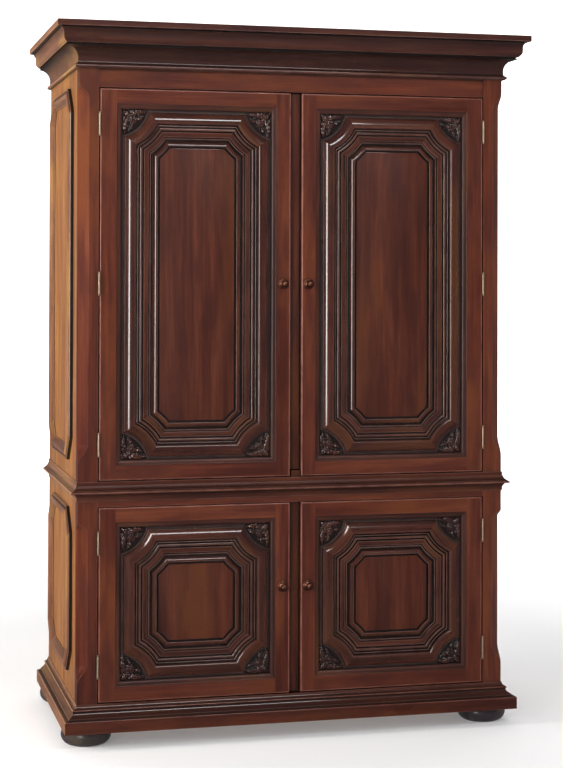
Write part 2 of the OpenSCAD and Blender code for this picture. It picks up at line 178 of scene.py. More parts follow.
def wood(name, along, dark, middle, light, glaze=0.0, wear_and_highlight=0.0, gloss=0.3, coat=0.6, bump=0.1,
         polish=0.09, mottle=1.0):
    """Stained and lacquered wood. The glaze argument darkens recesses with glaze and painted shade;
    the wear argument lightens edges with wear and a painted highlight.
    """
    n = Nodes(name)
    p = grain_space(n, along)
    bend = n.noise(n.stretch(p, (0.8, 3, 3)), 1.0, 2)
    bent = n.add("ShaderNodeVectorMath", {0: p, 1: n.add(
        "ShaderNodeCombineXYZ", {"Y": n.math("MULTIPLY", bend, 0.05),
                                 "Z": n.math("MULTIPLY", bend, 0.03)}).outputs[0]},
        operation="ADD").outputs[0]
    figure = n.noise(n.stretch(bent, (1.6, 24, 24)), 1.0, 4, 0.55, 0.3)
    streak = n.noise(n.stretch(bent, (4, 110, 110)), 1.0, 3, 0.6)
    fibre = n.noise(n.stretch(p, (14, 620, 620)), 1.0, 2, 0.6)
    tone = n.math("ADD", n.math("MULTIPLY", figure, 0.52), n.math("MULTIPLY", streak, 0.32))
    tone = n.math("ADD", tone, n.math("MULTIPLY", fibre, 0.16))
    colour = n.ramp(n.fade(tone, 0.36, 0.64), [(0.0, dark), (0.5, middle), (1.0, light)])
    orange = [middle[0] * 1.55, middle[1] * 1.9, middle[2] * 1.05]
    purple = [middle[0] * 0.62, middle[1] * 0.62, middle[2] * 0.95]
    blotch = n.noise(n.stretch(p, (2.2, 9, 9)), 1.0, 3, 0.55)
    cloud = n.noise(n.stretch(p, (3.1, 13, 13)), 1.7, 2, 0.5)
    colour = n.mix(n.fade(blotch, 0.5, 0.68, 0.0, 0.75 * mottle), colour, orange)
    colour = n.mix(n.fade(cloud, 0.5, 0.66, 0.0, 0.6 * mottle), colour, purple)
    pores = n.fade(n.noise(n.stretch(p, (45, 1400, 1400)), 1.0, 1, 0.5), 0.62, 0.7)
    colour = n.mix(n.math("MULTIPLY", pores, 0.4), colour, [c * 0.25 for c in dark])
    rubbed_and_highlight = (middle[0] * 2.6 + 0.05, middle[1] * 3.2 + 0.05, middle[2] * 3.2 + 0.05)
    # Edge wear and a painted highlight: edges from the worn attribute, or on CAD pieces from a
    # bevel test, are lightened
    if wear_and_highlight:
        edge = n.add("ShaderNodeAttribute", attribute_name="worn").outputs["Fac"]
        if along != "mesh":
            rounded = n.add("ShaderNodeBevel", {"Radius": 0.0025}, samples=4).outputs[0]
            plain = n.add("ShaderNodeNewGeometry").outputs["Normal"]
            same = n.add("ShaderNodeVectorMath", {0: rounded, 1: plain},
                         operation="DOT_PRODUCT")
            edge = n.fade(same.outputs["Value"], 0.995, 0.93)
        patchy = n.math("MULTIPLY", edge, n.fade(n.noise(p, 24, 3), 0.3, 0.6, 0.35, 1.0))
        colour = n.mix(n.math("MULTIPLY", patchy, wear_and_highlight), colour, rubbed_and_highlight)
    # Glaze and painted shade: hollows found by ambient occlusion and by the glaze attribute are
    # darkened towards the near-black glaze colour
    if glaze:
        sky = n.add("ShaderNodeAmbientOcclusion", {"Distance": 0.014}, samples=6)
        hollow_mask = n.fade(sky.outputs["AO"], 0.92, 0.35)
        hollow_mask = n.math("MULTIPLY", hollow_mask, glaze, clamp=True)
        low = n.add("ShaderNodeAttribute", attribute_name="glaze").outputs["Fac"]
        hollow_mask = n.math("MAXIMUM", hollow_mask, low)
        colour = n.mix(hollow_mask, colour, GLAZE_AND_SHADE)
    n.put(n.shader.inputs["Base Color"], colour)
    haze = n.noise(n.stretch(p, (3, 12, 12)), 1.0, 3)
    n.put(n.shader.inputs["Roughness"], n.fade(haze, 0.3, 0.7, gloss, gloss + 0.14))
    n.shader.inputs["Specular IOR Level"].default_value = 0.2
    n.shader.inputs["Coat Weight"].default_value = coat
    n.shader.inputs["Coat Roughness"].default_value = polish
    relief = n.math("ADD", n.math("MULTIPLY", fibre, 0.5), n.math("MULTIPLY", pores, -0.9))
    bumped = n.add("ShaderNodeBump", {"Strength": bump, "Distance": 0.0006, "Height": relief})
    n.put(n.shader.inputs["Normal"], bumped.outputs[0])
    return n.mat


def metal(name, colour, patina, rough, spots=0.5):
    """Metal with patches of patina or tarnish."""
    n = Nodes(name)
    p = n.add("ShaderNodeTexCoord").outputs["Object"]
    patches = n.fade(n.noise(p, 160, 4, 0.6), 0.42, 0.62, 0.0, spots)
    sky = n.add("ShaderNodeAmbientOcclusion", {"Distance": 0.006}, samples=6)
    hollow_mask = n.fade(sky.outputs["AO"], 0.95, 0.5)
    amount = n.math("MAXIMUM", patches, hollow_mask)
    n.put(n.shader.inputs["Base Color"], n.mix(amount, colour, patina))
    n.shader.inputs["Metallic"].default_value = 1.0
    n.put(n.shader.inputs["Roughness"], n.fade(n.noise(p, 300, 3), 0.3, 0.7, rough, rough + 0.2))
    scratch = n.noise(n.stretch(p, (900, 900, 90)), 1.0, 2)
    bump = n.add("ShaderNodeBump", {"Strength": 0.08, "Distance": 0.0004, "Height": scratch})
    n.put(n.shader.inputs["Normal"], bump.outputs[0])
    return n.mat


STAIN = dict(dark=(0.038, 0.007, 0.004), middle=(0.082, 0.017, 0.008), light=(0.132, 0.034, 0.013))
FIELD = dict(dark=(0.031, 0.006, 0.003), middle=(0.060, 0.013, 0.006), light=(0.100, 0.024, 0.010))
DEEP = dict(dark=(0.020, 0.006, 0.004), middle=(0.047, 0.013, 0.008), light=(0.085, 0.026, 0.014))
CROWN = dict(dark=(0.022, 0.006, 0.005), middle=(0.043, 0.012, 0.008), light=(0.072, 0.021, 0.012))
# The next two are lighter copies of the stain for the pieces on the sides, painted light for the
# brightly lit side
MID_PAINTED_LIGHT = dict(dark=(0.12, 0.048, 0.025), middle=(0.23, 0.100, 0.050), light=(0.33, 0.16, 0.080))
SIDE_PAINTED_LIGHT = dict(dark=(0.15, 0.054, 0.018), middle=(0.265, 0.108, 0.036), light=(0.37, 0.165, 0.056))
INNER = dict(dark=(0.16, 0.075, 0.035), middle=(0.26, 0.13, 0.062), light=(0.36, 0.20, 0.10))
CARVED = dict(dark=(0.016, 0.007, 0.006), middle=(0.040, 0.013, 0.010), light=(0.085, 0.030, 0.020))
BLACKENED = dict(dark=(0.022, 0.015, 0.017), middle=(0.046, 0.031, 0.035),
                 light=(0.068, 0.047, 0.050))


def make_materials():
    return {
        "case_x": wood("case_wood_x", "X", **STAIN, wear_and_highlight=0.5, glaze=1.1),
        "case_z": wood("case_wood_z", "Z", **STAIN, wear_and_highlight=0.5, glaze=0.6),
        "door": wood("door_wood", "mesh", **STAIN, wear_and_highlight=0.75, glaze=0.75),
        "field": wood("field_wood", "mesh", **FIELD, wear_and_highlight=0.2, glaze=0.8, gloss=0.4, coat=0.3),
        "ground": wood("ground_wood", "mesh", **BLACKENED, glaze=0.8),
        "moulding": wood("panel_moulding_wood", "mesh", **DEEP, wear_and_highlight=0.75, glaze=1.0, gloss=0.2,
                         coat=0.9, bump=0.04),
        "sticking": wood("sticking_wood", "mesh", **DEEP, wear_and_highlight=0.6, glaze=0.9, gloss=0.4,
                         coat=0.25, bump=0.04, polish=0.25),
        "cornice": wood("cornice_wood", "mesh", **FIELD, wear_and_highlight=0.6, glaze=0.8, gloss=0.24,
                        coat=0.8, bump=0.05),
        "waist": wood("waist_wood", "mesh", **FIELD, wear_and_highlight=0.9, glaze=0.9, gloss=0.4, coat=0.12,
                      bump=0.05, polish=0.3),
        "crown": wood("crown_wood", "mesh", **CROWN, wear_and_highlight=0.6, glaze=0.9, gloss=0.24, coat=0.7,
                      bump=0.05),
        "side": wood("side_wood", "Z", **SIDE_PAINTED_LIGHT, wear_and_highlight=0.3, glaze=0.5, coat=0.25, gloss=0.4,
                     mottle=0.5),
        "side_frame": wood("side_frame_wood", "mesh", **MID_PAINTED_LIGHT, wear_and_highlight=0.4, glaze=0.9, coat=0.6,
                           bump=0.05),
        "foot_mesh": wood("turned_foot_wood", "mesh", **BLACKENED, wear_and_highlight=0.3, gloss=0.36, coat=0.9,
                          bump=0.03, polish=0.3),
        "cornice_side": wood("cornice_side_wood", "mesh", **MID_PAINTED_LIGHT, wear_and_highlight=0.6, glaze=0.9, gloss=0.34,
                             coat=0.3, bump=0.05),
        "carved": wood("carved_wood", "mesh", **CARVED, wear_and_highlight=0.15, glaze=1.6, gloss=0.2, coat=1.0,
                       bump=0.04),
        "inner_x": wood("inner_wood_x", "X", **INNER, gloss=0.4, coat=0.3, mottle=0.2),
        "inner_z": wood("inner_wood_z", "Z", **INNER, gloss=0.4, coat=0.3, mottle=0.2),
        "tray": wood("tray_wood", "X", **STAIN, wear_and_highlight=0.4, gloss=0.34),
        "strip": wood("strip_wood", "Z", **FIELD, wear_and_highlight=0.4, glaze=0.8),
        "bronze": metal("antique_bronze", (0.30, 0.125, 0.08), (0.055, 0.02, 0.014), 0.3, 0.6),
        "brass": metal("hinge_brass", (0.78, 0.62, 0.42), (0.30, 0.19, 0.10), 0.42, 0.3),
        "steel": metal("slide_steel", (0.55, 0.55, 0.56), (0.35, 0.34, 0.33), 0.32, 0.3),
    }


# ---------------------------------------------------------------------------
# Meshes
# ---------------------------------------------------------------------------

def arc(cx, cy, r, start, end, steps):
    """Points along an arc, angles in degrees."""
    angles = (math.radians(start + (end - start) * i / steps) for i in range(steps + 1))
    return [(cx + r * math.cos(a), cy + r * math.sin(a)) for a in angles]


# How far to look, and the share of the half circle where the glaze and painted shade start and the
# range they fill over
REACH = 26
SHUT_FROM, SHUT_SPAN = 0.17, 0.36


def recess(outline):
    """How shut in each point of an (along, height) outline is: 0 in the open, 1 in a quirk."""
    shut = []
    for s, h in outline:
        left = right = 0.0
        for t, k in outline:
            if abs(t - s) < REACH and k > h:
                rise = math.atan2(k - h, abs(t - s))
                if t < s:
                    left = max(left, rise)
                else:
                    right = max(right, rise)
        walls = (left + right) / math.pi
        shut.append(min(1.0, max(0.0, (walls - SHUT_FROM) / SHUT_SPAN)))
    return shut


def refine(outline, near=1.6):
    """Adds points close to the ends of an outline's long edges."""
    fine = []
    for a, b in zip(outline, outline[1:] + outline[:1]):
        fine.append(a)
        length = math.dist(a, b)
        if length > 3 * near:
            for t in (near / length, 1 - near / length):
                fine.append((a[0] + t * (b[0] - a[0]), a[1] + t * (b[1] - a[1])))
    return fine


def arrises(outline):
    """How sharply each point of a closed outline stands out: 0 where it is flat or hollow."""
    ends = list(zip(outline, outline[1:] + outline[:1]))
    way_round = math.copysign(1, sum(a[0] * b[1] - b[0] * a[1] for a, b in ends))
    sharp = []
    for i, b in enumerate(outline):
        a, c = outline[i - 1], outline[(i + 1) % len(outline)]
        run, on = (b[0] - a[0], b[1] - a[1]), (c[0] - b[0], c[1] - b[1])
        turn = math.atan2(run[0] * on[1] - run[1] * on[0], run[0] * on[0] + run[1] * on[1])
        turn *= way_round
        bend = 2 * turn / (math.hypot(*run) + math.hypot(*on))
        sharp.append(min(1.0, max(0.0, turn / 0.7 - 0.6, 2.2 * bend - 0.1)))
    return sharp


class Solids:
    """Closed solids gathered into one piece, each with its own grain."""

    def __init__(self):
        self.verts = []
        self.faces = []
        self.grain = []
        self.glaze = []
        self.worn = []

    def start(self, along):
        """The next solid's grain: X of the grain space runs along this direction."""
        self.base = len(self.verts)
        a = Vector(along).normalized()
        b = Vector((0, -1, 0)) if abs(a.y) < 0.9 else Vector((1, 0, 0))
        b = (b - a * b.dot(a)).normalized()
        self.axes = (a, b, a.cross(b))
        self.offset = Vector([random.uniform(0, 9) for _ in range(3)])

    def add(self, point, glaze, worn):
        """One vertex, with its place in the grain."""
        p = Vector(point) * MM
        self.verts.append(p)
        self.grain.append(Vector([p.dot(axis) for axis in self.axes]) + self.offset)
        self.glaze.append(glaze)
        self.worn.append(worn)

    def tube(self, rings, along, glaze=None, worn=None):
        """Joins closed rings of points, one after the other, and caps both ends."""
        self.start(along)
        count = len(rings[0])
        glaze = glaze or [0.0] * count
        worn = worn or [0.0] * count
        for ring in rings:
            for point, hollow_mask, rub_and_highlight in zip(ring, glaze, worn):
                self.add(point, hollow_mask, rub_and_highlight)
        for k in range(len(rings) - 1):
            near, far = self.base + k * count, self.base + (k + 1) * count
            for j in range(count):
                nxt = (j + 1) % count
                self.faces.append((near + j, near + nxt, far + nxt, far + j))
        self.faces.append(tuple(self.base + j for j in reversed(range(count))))
        last = self.base + (len(rings) - 1) * count
        self.faces.append(tuple(last + j for j in range(count)))

    def box(self, lo, hi, along):
        self.tube([[(x, lo[1], lo[2]), (x, hi[1], lo[2]), (x, hi[1], hi[2]), (x, lo[1], hi[2])]
                   for x in (lo[0], hi[0])], along)

    def piece(self, name, body, material, nodes=(), crease=32):
        """Makes the mesh and hands it to the frame, in place of the CAD nodes it stands for."""
        mesh = bpy.data.meshes.new(name)
        mesh.from_pydata(self.verts, [], self.faces)
        attribute = mesh.attributes.new("grain", "FLOAT_VECTOR", "POINT")
        attribute.data.foreach_set("vector", [c for g in self.grain for c in g])
        # glaze holds glaze and painted shade for each vertex, worn holds wear and a painted
        # highlight
        for key, values in (("glaze", self.glaze), ("worn", self.worn)):
            mesh.attributes.new(key, "FLOAT", "POINT").data.foreach_set("value", values)
        bm = bmesh.new()
        bm.from_mesh(mesh)
        bmesh.ops.recalc_face_normals(bm, faces=bm.faces)
        bm.to_mesh(mesh)
        bm.free()
        mesh.shade_smooth()
        mesh.set_sharp_from_angle(angle=math.radians(crease))
        obj = bpy.data.objects.new(name, mesh)
        bpy.context.scene.collection.objects.link(obj)
        mesh.materials.append(material)
        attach(obj, body)
        for node in nodes:
            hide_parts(node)


def soften(obj, width):
    """Rounds the hard edges a little."""
    bevel = obj.modifiers.new("bevel", "BEVEL")
    bevel.width = width * MM
    bevel.segments = 3
    bevel.limit_method = "ANGLE"
    bevel.angle_limit = math.radians(35)
    bevel.harden_normals = True


# ---------------------------------------------------------------------------
# Mitred runs: plinth, waist and cornice, as (how far out, height) outlines
# ---------------------------------------------------------------------------

MITRE_GAP = 0.15


def plinth_outline(inset, foot, top, out):
    return ([(-inset, foot), (out, foot), (out, top - 42.5), (out - 0.8, top - 41),
             (out - 2.5, top - 40.2), (out - 12, top - 39), (out - 12, top - 36),
             (out - 13, top - 34.6), (out - 15, top - 34)]
            + arc(26, top - 17, 15, 235, 200, 8)
            + [(11.5, top - 19)] + arc(11.4, top - 15, 2.6, -60, 90, 6)
            + arc(14, top - 2, 11, 242, 190, 8)
            + [(2, top - 3), (2, top), (0, top), (0, top - 2), (-inset, top - 2)])


def waist_outline(low, high, out):
    return ([(0, low), (3, low), (3, low + 8)]
            + arc(17, low + 8, 14, 180, 118, 8)
            + [(8, low + 20.6), (8, low + 22.4), (out - 1.6, low + 22.8), (out, low + 24.4),
               (out, low + 27.4), (out - 1.8, low + 29.2), (out - 5.5, low + 29.6),
               (out - 5.5, low + 31.6)]
            + arc(out - 1, low + 46, 15, 252, 190, 8)
            + [(3, low + 46), (3, high), (0, high)])


def cornice_outline(inset, low, high, out):
    return ([(-inset, low), (8, low), (8, low + 1)]
            + arc(8, low + 6, 5, -60, 60, 8)
            + [(6, low + 13), (4, low + 17), (4, low + 24)]
            + arc(39, low + 27, 35, 180, 92, 16)
            + [(40, low + 61), (33.5, low + 62.5), (33.5, low + 66.5), (41.5, low + 68)]
            + arc(34, low + 84, 16, -52, 6, 9)
            + arc(67, low + 95, 17, 180, 125, 9)
            + [(54, low + 108.4), (54, low + 111.4), (out - 1.2, low + 112.4), (out, low + 113.6),
               (out, high - 1.2), (out - 1.2, high), (-inset, high)])


def mitred_runs(node, outline, half_w, front, back, key="cornice"):
    """One run along the front and one along each side, meeting at 45 degrees."""
    outline = refine(outline)
    shut = recess([(z, o) for o, z in outline])
    top = max(z for _, z in outline)
    # Glaze and painted shade in the hollows, but none on the top; wear and a painted highlight on
    # the arrises
    hollow_mask = [d if o > 0 and z < top else 0.0 for (o, z), d in zip(outline, shut)]
    rub_and_highlight = arrises(outline)
    run = Solids()
    run.tube([[(end * (half_w + o - MITRE_GAP), front - o, z) for o, z in outline]
              for end in (-1, 1)], (1, 0, 0), hollow_mask, rub_and_highlight)
    run.piece(node + "_front_run", "case", MATS[key], [node])
    returns = Solids()
    for side in (-1, 1):
        returns.tube([[(side * (half_w + o), front - o + MITRE_GAP, z) for o, z in outline],
                      [(side * (half_w + o), back, z) for o, z in outline]], (0, 1, 0), hollow_mask, rub_and_highlight)
    returns.piece(node + "_side_runs", "case", MATS["cornice_side"], [node])


def make_runs():
    lo, hi = span("desk_board")
    half_w, front, back = hi[0], lo[1], hi[1]
    inset = half_w - span("base_board")[1][0]
    low, high = span("base_moulding")
    mitred_runs("base_moulding",
                plinth_outline(inset, low[2], high[2], high[0] - half_w), half_w, front, back)
    low, high = span("waist_moulding")
    mitred_runs("waist_moulding",
                waist_outline(low[2], high[2], high[0] - half_w), half_w, front, back, "waist")
    low, high = span("cornice")
    mitred_runs("cornice",
                cornice_outline(inset, low[2], high[2], high[0] - half_w), half_w, front, back,
                "crown")


# ---------------------------------------------------------------------------
# Octagonal frames planted on the sides
# ---------------------------------------------------------------------------

# (inset, height) outline of a stick, whose first OUTER_EDGE points are its outer edge
FRAME_CUT = 70
FRAME_OUTLINE = ([(0, 0), (0, 6.4), (0.6, 8.6), (2.6, 9.8), (5, 9.6), (6.5, 7.8), (8, 7.8)]
                 + arc(19, 6, 10, 170, 40, 14)
                 + [(29.6, 9.6), (33, 6), (34, 4), (35, 3.4), (38.6, 3), (40, 2), (40, 0)])
OUTER_EDGE = 3


def octagon(w, h, inset):
    """Corners of a chamfered rectangle, drawn in by inset, in order round it."""
    cut = FRAME_CUT - inset * (2 - math.sqrt(2))
    a, b, c, d = inset, inset + cut, w - inset - cut, w - inset
    e, f, g, i = inset, inset + cut, h - inset - cut, h - inset
    return [(b, e), (c, e), (d, f), (d, g), (c, i), (b, i), (a, g), (a, f)]


def make_side_frame(node, side):
    """Eight mitred sticks. Their outer edges are painted dark as shade, less so on the two level
    sticks.
    """
    lo, hi = span(node)
    w, h = hi[1] - lo[1], hi[2] - lo[2]
    wall = lo[0] if side > 0 else hi[0]
    sticks = Solids()
    hollow_mask = recess(FRAME_OUTLINE)
    for k in range(8):
        ends = []
        # Painted shade on the outer edge, weaker on the two level sticks; glaze and painted shade
        # in the hollows
        shade = [0.35 if k in (0, 4) else 1.0] * OUTER_EDGE + hollow_mask[OUTER_EDGE:]
        for end in (k, (k + 1) % 8):
            ring = []
            for inset, out in FRAME_OUTLINE:
                y, z = octagon(w, h, inset)[end]
                ring.append((wall + side * out, lo[1] + y, lo[2] + z))
            ends.append(ring)
        run = Vector(ends[1][0]) - Vector(ends[0][0])
        gap = run.normalized() * MITRE_GAP
        ends[0] = [tuple(Vector(p) + gap) for p in ends[0]]
        ends[1] = [tuple(Vector(p) - gap) for p in ends[1]]
        sticks.tube(ends, run, shade)
    sticks.piece(node + "_sticks", "case", MATS["side_frame"], [node])


# ---------------------------------------------------------------------------
# Doors
# ---------------------------------------------------------------------------

CORNER_R = 74.6
GROUND = -12.0
GROOVE = 8.0
FIELD_START = 126.6
FIELD_H = -4.0
ARC_STEPS = 20


def eased(cx, cy, rx, ry, start, end, steps):
    """Points along a quarter of an oval."""
    return [(cx + rx * x, cy + ry * y) for x, y in arc(0, 0, 1, start, end, steps)]


STICKING = ([(0.2, GROUND), (0.2, -1.2), (0.9, -1.9), (2.6, -2.4)]
            + eased(4, -10.4, 11.8, 7.8, 90, 0, 10) + [(15.9, GROUND)])

# A quirk, a broad nose, two beads, a falling hollow, a fillet and the bead next to the field, as
# (distance in from the opening's edge, height over the door's face)
MOULDING = ([(19.5, GROUND), (19.5, -9.9), (20.2, -9.2), (24.4, -8.8), (25, -9.6), (25.2, -3),
             (26, -1.2)]
            + arc(50, -28, 36, 129, 90, 14) + arc(50, 0, 8, 84, 0, 8)
            + [(58, -3.6), (59.6, -3.8)]
            + arc(62, -3.4, 2.3, 180, 0, 8) + [(64.4, -5.8), (66.4, -5.8)]
            + eased(71.2, -5, 4.6, 4, 180, 0, 10) + [(76, -7.6), (79.4, -7.6), (79.6, -3.6),
                                                     (80.4, -2.8)]
            + [(s, -2.8 - 0.012 * (s - 81) ** 2) for s in range(82, 96, 2)]
            + [(95.2, -8.9), (97.2, -9.2), (97.4, -7.4), (100.6, -7.6), (101.2, -8.4),
               (101.4, -11.2), (105.8, -11.2), (106, -9.4)]
            + arc(119.5, -15.6, 14.6, 149, 90, 10) + arc(119.5, -2.2, 1.2, 60, 0, 3)
            + [(120.8, GROUND)])


def mitre_at(s):
    """Where a straight run meets the corner arc, as the distance from the opening's corner."""
    return math.sqrt(2 * CORNER_R * s + CORNER_R ** 2)


class Door:
    """A door's opening and the map from its face (right, up, out) to the row frame."""

    def __init__(self, name):
        self.name = name
        self.body = name + "_door"
        lo, hi = span(name + "_frame")
        self.lo, self.hi = lo, hi
        panel_lo, panel_hi = span(name + "_panel")
        self.x0, self.x1 = panel_lo[0] + GROOVE, panel_hi[0] - GROOVE
        self.z0, self.z1 = panel_lo[2] + GROOVE, panel_hi[2] - GROOVE
        self.w, self.h = self.x1 - self.x0, self.z1 - self.z0
        self.face = lo[1]

    def at(self, u, v, out):
        return (self.x0 + u, self.face - out, self.z0 + v)

    def corners(self):
        """For each corner: how its own (x, y) inward turns into the face's (right, up)."""
        for fx in (0, 1):
            for fy in (0, 1):
                yield (lambda x, y, fx=fx, fy=fy: (self.w - x if fx else x,
                                                   self.h - y if fy else y))


EDGE_W = 4.0


def make_door_frame(door):
    """Stiles and rails inside a rounded outer edge, lightened as wear and as a painted highlight.
    """
    timber = Solids()
    lo, hi = door.lo, door.hi
    for x0, x1 in ((lo[0] + EDGE_W, door.x0), (door.x1, hi[0] - EDGE_W)):
        timber.box((x0, lo[1], lo[2] + EDGE_W), (x1, hi[1], hi[2] - EDGE_W), (0, 0, 1))
    for z0, z1 in ((lo[2] + EDGE_W, door.z0), (door.z1, hi[2] - EDGE_W)):
        timber.box((door.x0, lo[1], z0), (door.x1, hi[1], z1), (1, 0, 0))
    r = EDGE_W - 0.6
    section = ([(0, hi[1] - lo[1]), (0, r)] + arc(r, r, r, 180, 270, 6)[1:]
               + [(EDGE_W, 0), (EDGE_W, hi[1] - lo[1])])
    # Wear and a painted highlight, strongest round the rounded arris
    worn = [0.0, 0.5] + [1.0] * 6 + [0.5, 0.0]
    corners = [(lo[0], lo[2], 1, 1), (hi[0], lo[2], -1, 1), (hi[0], hi[2], -1, -1),
               (lo[0], hi[2], 1, -1)]
    for k in range(4):
        ends = [[(x + dx * inset, lo[1] + deep, z + dz * inset) for inset, deep in section]
                for x, z, dx, dz in (corners[k], corners[(k + 1) % 4])]
        timber.tube(ends, Vector(ends[1][0]) - Vector(ends[0][0]), worn=worn)
    timber.piece(door.name + "_stiles_rails", door.body, MATS["door"],
                 [door.name + "_frame"])


def contour(door, s, out):
    """The line at distance s in from the opening's edge, with its arcs, round the door."""
    points = []
    order = ((0, 0, False), (1, 0, True), (1, 1, False), (0, 1, True))
    for fx, fy, swap in order:
        start = math.atan2(mitre_at(s), s)
        end = math.pi / 2 - start
        angles = [start + (end - start) * i / ARC_STEPS for i in range(ARC_STEPS + 1)]
        if swap:
            angles.reverse()
        for a in angles:
            x, y = (CORNER_R + s) * math.cos(a), (CORNER_R + s) * math.sin(a)
            points.append(door.at(door.w - x if fx else x, door.h - y if fy else y, out))
    return points


# Behind the mouldings: a dark ground and the panel's own back, by depth behind the ground's face
PANEL_SHEETS = (("_panel_ground", "ground", 0, 2), ("_panel_rear", "field", 2.05, 8))
PLAY = 0.1


def make_panel(door):
    panel = Solids()
    edge = [(FIELD_START, GROUND + 0.05), (FIELD_START, FIELD_H - 0.9),
            (FIELD_START + 0.3, FIELD_H - 0.3), (FIELD_START + 1, FIELD_H)]
    panel.tube([contour(door, s, out) for s, out in edge], (0, 0, 1))
    panel.piece(door.name + "_raised_field", door.body, MATS["field"],
                [door.name + "_panel"])
    for part, key, near, far in PANEL_SHEETS:
        sheet = Solids()
        sheet.box((door.x0 + PLAY, door.face - GROUND + near, door.z0 + PLAY),
                  (door.x1 - PLAY, door.face - GROUND + far, door.z1 - PLAY), (0, 0, 1))
        sheet.piece(door.name + part, door.body, MATS[key],
                    [door.name + "_panel"])


def straight_run(door, outline, side, start_of, solids):
    """One run of the panel moulding. side is W, E, S or N; start_of gives each end's cut."""
    length = door.h if side in "WE" else door.w
    rings = []
    for top in (False, True):
        ring = []
        for s, out in outline:
            along = start_of(s) + MITRE_GAP
            along = length - along if top else along
            u, v = (s, along) if side in "WE" else (along, s)
            if side == "E":
                u = door.w - u
            if side == "N":
                v = door.h - v
            ring.append(door.at(u, v, out))
        rings.append(ring)
    # Glaze and painted shade from the hollows, wear and a painted highlight from the arrises
    solids.tube(rings, (0, 0, 1) if side in "WE" else (1, 0, 0), recess(outline),
                arrises(outline))


def make_moulding(door):
    sticks = Solids()
    sticking = Solids()
    for side in "WESN":
        straight_run(door, STICKING, side, lambda s: s, sticking)
        straight_run(door, MOULDING, side, mitre_at, sticks)
    for place in door.corners():
        rings = []
        for i in range(ARC_STEPS + 1):
            ring = []
            for s, out in MOULDING:
                start = math.atan2(mitre_at(s), s)
                a = start + (math.pi / 2 - 2 * start) * i / ARC_STEPS
                x, y = (CORNER_R + s) * math.cos(a), (CORNER_R + s) * math.sin(a)
                ring.append(door.at(*place(x, y), out))
            rings.append(ring)
        run = Vector(rings[-1][0]) - Vector(rings[0][0])
        # Glaze and painted shade from the hollows, wear and a painted highlight from the arrises
        sticks.tube(rings, run, recess(MOULDING), arrises(MOULDING))
    sticks.piece(door.name + "_moulding_runs", door.body,
                 MATS["moulding"], [door.name + "_moulding"])
    sticking.piece(door.name + "_sticking", door.body, MATS["sticking"],
                   [door.name + "_moulding"])


# ---- Carved corners ----

CARVE_STEP = 1.25
CARVE_LOW = 16.2
CARVE_R = 93.4
CARVE_BACK = 0.6
# Relief height from which the carving has no glaze and no painted shade
OPEN_FROM = 5.5


def leaf_height(x, y, root, bend, tip, width, lobes, rise):
    """Height of a lobed leaf over its ground, along a curved midrib from root to tip."""
    t = np.linspace(0, 1, 40)
    mid = [(1 - t) ** 2 * root[i] + 2 * t * (1 - t) * bend[i] + t ** 2 * tip[i] for i in (0, 1)]
    dist = np.hypot(x[..., None] - mid[0], y[..., None] - mid[1])
    near = dist.argmin(axis=-1)
    d = dist.min(axis=-1)
    along = t[near]
    half = width * np.sin(np.pi * np.clip(along, 0.02, 0.985) ** 0.75) ** 0.55
    half = half * (0.80 + 0.20 * np.abs(np.cos(lobes * np.pi * along)))
    inside = np.clip(1 - (d / np.maximum(half, 0.4)) ** 2, 0, 1)
    body = rise * inside ** 0.5 * (0.72 + 0.28 * np.sin(np.pi * along))
    rib = 1.3 * np.exp(-((d / 0.9) ** 2)) * (inside > 0)
    veins = 0.7 * np.cos(2 * np.pi * (lobes * along - 0.11 * d)) * inside ** 0.5
    return np.where(inside > 0, np.maximum(body - rib + veins, 0.2), 0)


def rosette_height(x, y, centre, radius, petals, rise):
    """Height of an open flower with a domed heart."""
    dx, dy = x - centre[0], y - centre[1]
    r = np.hypot(dx, dy)
    turn = np.arctan2(dy, dx)
    edge = radius * (0.78 + 0.22 * np.abs(np.cos(petals * turn / 2)))
    inside = np.clip(1 - (r / edge) ** 4, 0, 1)
    petal = rise * inside ** 0.6 * (0.45 + 0.4 * r / radius)
    petal = petal - 1.4 * inside * np.exp(-((np.sin(petals * turn / 2) * r / 1.6) ** 2))
    heart = 1.15 * rise * np.sqrt(np.clip(1 - (r / (0.36 * radius)) ** 2, 0, 1))
    return np.maximum(petal, heart)


def carving_relief(x, y):
    """The corner's foliage, over its ground."""
    parts = [
        rosette_height(x, y, (47, 47), 14.5, 6, 8.5),
        leaf_height(x, y, (37, 37), (30, 27), (18.5, 18.5), 9.5, 3, 7.5),
    ]
    for flip in (False, True):
        a, b = (y, x) if flip else (x, y)
        parts.append(leaf_height(a, b, (40, 33), (58, 18), (86, 25), 9.5, 4, 7.5))
        parts.append(leaf_height(a, b, (58, 43), (68, 45), (79, 37), 6, 3, 6.0))
        parts.append(leaf_height(a, b, (34, 26), (42, 19), (55, 19.5), 4.5, 2, 5.0))
        dot = np.clip(1 - np.hypot(a - 65, b - 31.5) ** 2 / 9, 0, 1)
        parts.append(5.5 * np.sqrt(dot))
    return np.maximum.reduce(parts)


